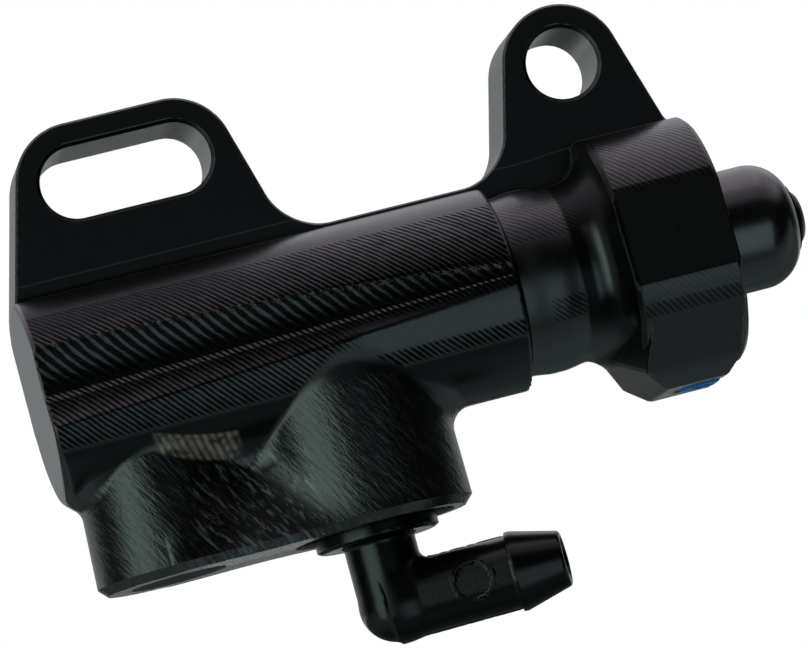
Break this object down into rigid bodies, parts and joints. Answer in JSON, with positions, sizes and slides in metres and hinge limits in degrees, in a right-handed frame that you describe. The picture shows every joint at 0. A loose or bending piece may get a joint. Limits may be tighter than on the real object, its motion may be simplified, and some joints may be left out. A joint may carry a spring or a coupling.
{
  "type": "brake master cylinder",
  "caption": "Machined rear brake master cylinder with slotted mounting ears, domed pushrod boot, banjo outlet and swivelling hose elbow for a remote reservoir.",
  "frame": {"origin": "on the mounting face at the height of the bore axis, midway between the centre of the fixing slot and the fixing hole", "axes": "+X along the bore towards the pushrod, +Y out of the mounting face, +Z from the bore towards the mounting ears"},
  "size_m": [0.0784, 0.0223, 0.058],
  "materials": {
    "black_anodised": "black hard anodised over milled surfaces",
    "blue_anodised": "blue anodised, satin",
    "bright_steel": "bright zinc plated",
    "dark_steel": "black oxide, oiled",
    "piston_aluminium": "hard anodised, ground",
    "seal_rubber": "moulded EPDM",
    "boot_rubber": "smooth satin rubber",
    "elbow_plastic": "moulded glass-filled nylon, satin",
    "seat_plastic": "moulded acetal"
  },
  "bodies": {
    "housing": {"body": "black_anodised", "stop_washer": "bright_steel", "bore_circlip": "dark_steel", "guide_bush": "dark_steel", "rod_wiper": "seal_rubber", "dust_boot": "boot_rubber", "boot_ring": "dark_steel", "lock_screw": "blue_anodised", "return_spring": "bright_steel", "elbow_circlip": "dark_steel"},
    "piston_set": {"piston": "piston_aluminium", "cup_washer": "bright_steel", "primary_cup": "seal_rubber", "spring_seat": "seat_plastic", "secondary_seal": "seal_rubber", "pushrod": "dark_steel"},
    "elbow": {"elbow_fitting": "elbow_plastic", "elbow_o_ring": "seal_rubber"}
  },
  "joints": [
    {"name": "piston_slide", "type": "slide", "parent": "housing", "child": "piston_set", "axis": [-1, 0, 0], "range_m": [0, 0.006], "stiffness_N_per_m": 900, "springref_m": -0.004, "deforming": ["return_spring", "dust_boot"]},
    {"name": "elbow_swivel", "type": "hinge", "parent": "housing", "child": "elbow", "pos_m": [-0.0079, -0.0105, -0.018], "axis": [0, 0, 1], "continuous": true}
  ]
}
